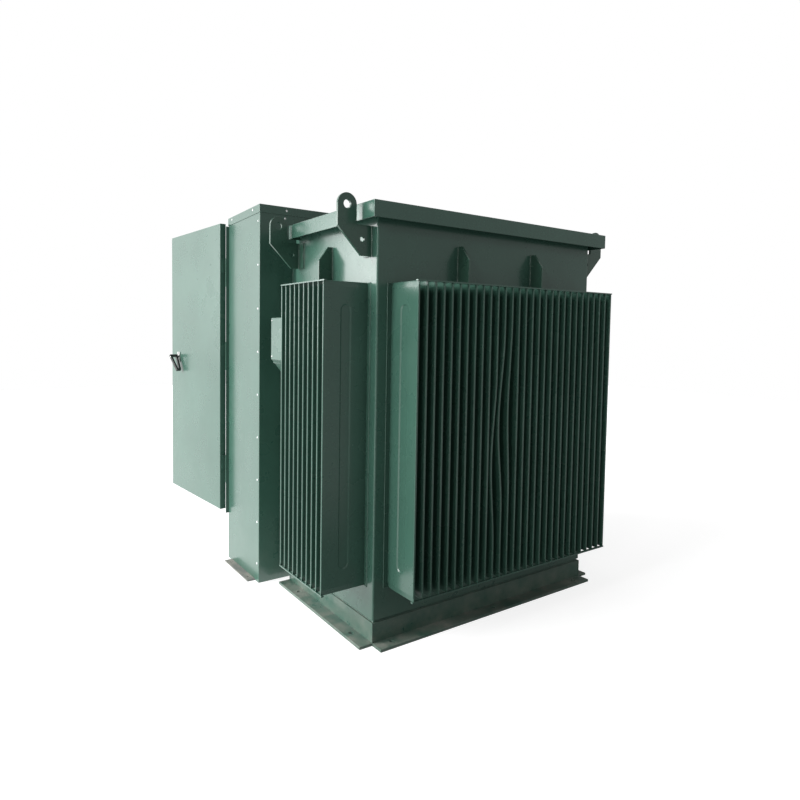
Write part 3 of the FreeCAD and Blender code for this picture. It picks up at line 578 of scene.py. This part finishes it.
lid_screw = screw_head("lid_screw", 0.0030, 0.0022)
lid_y = (housing_low.y + 0.012, housing_high.y - 0.012)
lid_rows = [((housing_high.x, lid_y[0], height), (housing_high.x, lid_y[1], height), 2, (1, 0, 0))
            for height in (housing_high.z - 0.014, lid_bottom + 0.014)]
fixings("instrument_lid_screws", lid_screw, lid_rows, screw_steel)

# ---- Terminals -----------------------------------------------------------------------------
# Red-brown moulded insulators clamped to a steel plate: four short ones with tinned spades on the
# right, three stepped ones on the left. Hexagon nuts on studs hold each flange.
resin = bpy.data.materials.new("resin")
resin.use_nodes = True
resin_tree = resin.node_tree
resin_shader = resin_tree.nodes["Principled BSDF"]
resin_place = add_node(resin_tree, "ShaderNodeTexCoord").outputs["Object"]
cloud = spread(resin_tree, mottle(resin_tree, resin_place, 18.0, 5.0), 0.3, 0.7)
resin_tree.links.new(tinted(resin_tree, cloud, (0.30, 0.075, 0.045), (0.36, 0.10, 0.06)),
                     resin_shader.inputs["Base Color"])
resin_tree.links.new(spread(resin_tree, mottle(resin_tree, resin_place, 30.0), 0.3, 0.7, 0.22, 0.34),
                     resin_shader.inputs["Roughness"])
resin_grain = add_node(resin_tree, "ShaderNodeBump",
                       {"Height": mottle(resin_tree, resin_place, 420.0), "Strength": 0.3,
                        "Distance": 0.00004})
resin_tree.links.new(resin_grain.outputs[0], resin_shader.inputs["Normal"])
finish_nodes(resin, "low_voltage_bushings", "high_voltage_bushings")


def hex_nut(name, across, height, stud):
    """Hexagon nut with chamfered corners on a round washer, and the stud's end through it."""
    radius = across / math.sqrt(3)
    shape = bmesh.new()
    washer = turned_mesh("washer", [(0, 0), (radius * 1.25, 0), (radius * 1.25, 0.0016), (0, 0.0016)], 24)
    shape.from_mesh(washer)
    nut = turned_mesh("nut", [(0, 0.0016), (radius * 0.93, 0.0016), (radius, 0.0026),
                              (radius, height - 0.001), (radius * 0.9, height), (stud, height),
                              (stud, height + 0.004), (stud * 0.8, height + 0.0055),
                              (0, height + 0.0055)], 6)
    shape.from_mesh(nut)
    mesh = bpy.data.meshes.new(name)
    shape.to_mesh(mesh)
    shape.free()
    return mesh


zinc = bright_metal("zinc", (0.55, 0.56, 0.55), 0.32)
board_low, board_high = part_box("bushing_plate")
board_face = board_low.y
edge_in = 0.020                # outer rows in from the plate's edges
end_in = 0.030                 # end nuts of the level rows in from the plate's ends
middle_gap = (0.06, 0.11)      # level rows stop here on either side of the barrier
upright_in = 0.13              # end nuts of the upright rows in from the plate's top and bottom
nut_rows = []
for height in (board_low.z + edge_in, board_high.z - edge_in):
    nut_rows.append(((board_low.x + end_in, board_face, height), (middle_gap[0], board_face, height), 6,
                     (0, -1, 0)))
    nut_rows.append(((middle_gap[1], board_face, height), (board_high.x - end_in, board_face, height), 6,
                     (0, -1, 0)))
for x in (board_low.x + edge_in, board_high.x - edge_in):
    nut_rows.append(((x, board_face, board_low.z + upright_in), (x, board_face, board_high.z - upright_in), 5,
                     (0, -1, 0)))
fixings("bushing_plate_nuts", hex_nut("m12_nut", 0.019, 0.010, 0.006), nut_rows, zinc)

# ---- Left door -----------------------------------------------------------------------------
# Folded sheet door that stays shut over the high voltage side. It hangs on three barrel hinges
# and is sprayed with the cabinet.
finish_nodes(cabinet_green, "left_door_panel", "left_door_edges", "left_door_hinges")

# ---- Right door ----------------------------------------------------------------------------
# Folded sheet door standing open on three barrel hinges, stiffened inside by flat channels, with
# a rubber seal on the frame that it closes against.
finish_nodes(cabinet_green, "right_hinge_post", "right_hinge_sleeves", "right_door_panel",
             "right_door_edges", "right_door_stiffeners")

rubber = bright_metal("rubber", (0.014, 0.014, 0.014), 0.62, stain=(0.03, 0.03, 0.028), metallic=0.0)
jamb_low, jamb_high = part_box("front_jamb_right")
sill_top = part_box("front_sill")[1].z
header_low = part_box("front_header")[0].z
seal_radius = 0.0038
seal_x = jamb_low.x + 0.014
seal_y = jamb_low.y - seal_radius + 0.0004
seal_low = sill_top - 0.012
seal_high = header_low + 0.014
seal_run = [(-seal_x, seal_y, seal_low), (seal_x, seal_y, seal_low), (seal_x, seal_y, seal_high),
            (-seal_x, seal_y, seal_high), (-seal_x, seal_y, seal_low)]
welds("door_seal", [seal_run], rubber, radius=seal_radius, pitch=0.02, ripple=0.0)

# ---- Latch ---------------------------------------------------------------------------------
# Die-cast black lever with a finger window, over a plated bearing plate screwed to the door. Its
# shaft goes through the door, and a round lock face closes its outer end.
lever_black = bright_metal("lever_black", (0.012, 0.014, 0.014), 0.30, stain=(0.03, 0.03, 0.03), metallic=0.0)
finish_nodes(zinc, "latch_plate")
finish_nodes(lever_black, "latch_handle")

joint_place = Vector((0.92843, -1.53465, 1.145))
outward = Vector((0.996195, 0.087156, 0.0))
latch_plate_thickness = 0.005
lever_reach = 0.0581           # lever's outer edge at the shaft, from the door's face
plate_front = joint_place + outward * latch_plate_thickness
plate_screw = screw_head("plate_screw", 0.0030, 0.0020)
plate_ends = [(plate_front + Vector((0, 0, rise)), plate_front + Vector((0, 0, rise + 0.001)), 1, outward)
              for rise in (0.025, -0.026)]
fixings("latch_plate_screws", plate_screw, plate_ends, screw_steel, body="right_door")
lever_front = joint_place + outward * lever_reach
lock_face = turned_mesh("lock_face", [(0, 0), (0.0062, 0), (0.0062, 0.0012), (0.0056, 0.0017),
                                      (0.0022, 0.0017), (0.0016, 0.0006), (0, 0.0006)], 24)
fixings("handle_lock", lock_face, [(lever_front, lever_front + Vector((0, 0, 0.001)), 1, outward)], zinc,
        body="handle")
